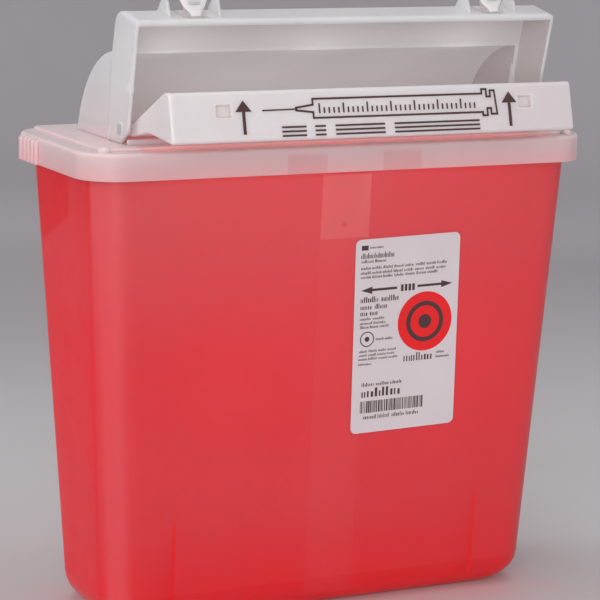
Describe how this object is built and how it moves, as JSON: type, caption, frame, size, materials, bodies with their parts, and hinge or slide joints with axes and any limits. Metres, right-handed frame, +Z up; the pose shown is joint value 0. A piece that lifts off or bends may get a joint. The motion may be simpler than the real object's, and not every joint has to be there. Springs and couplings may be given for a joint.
{
  "type": "sharps container",
  "caption": "Tapered translucent tub with a press-fit lid, a hooded drop chute, a see-saw tray lifted to drop its load, and two hinged tabs that lock the tray shut.",
  "frame": {"origin": "middle of the underside of the tub's base, on the surface that it stands on", "axes": "+X to the object's right, +Y towards its back, +Z up; the tray opens towards -Y"},
  "size_m": [0.273, 0.1384, 0.3178],
  "materials": {
    "tub_red": "translucent satin",
    "lid_natural": "translucent satin",
    "tray_white": "satin",
    "label_paper": "matte"
  },
  "bodies": {
    "container": {"container_tub": "tub_red", "lid": "lid_natural", "chute_hood": "lid_natural", "front_label": "label_paper"},
    "tray": {"drop_tray": "tray_white"},
    "left_tab": {"left_lock_tab": "lid_natural"},
    "right_tab": {"right_lock_tab": "lid_natural"}
  },
  "joints": [
    {"name": "tray_lift", "type": "hinge", "parent": "container", "child": "tray", "pos_m": [0, -0.0313, 0.2444], "axis": [-1, 0, 0], "range_deg": [0, 65]},
    {"name": "left_tab_fold", "type": "hinge", "parent": "container", "child": "left_tab", "pos_m": [-0.0795, -0.048, 0.29807], "axis": [-1, 0, 0], "range_deg": [0, 47.4], "stiffness_Nm_per_rad": 0.004},
    {"name": "right_tab_fold", "type": "hinge", "parent": "container", "child": "right_tab", "pos_m": [0.0795, -0.048, 0.29807], "axis": [-1, 0, 0], "range_deg": [0, 47.4], "stiffness_Nm_per_rad": 0.004}
  ]
}
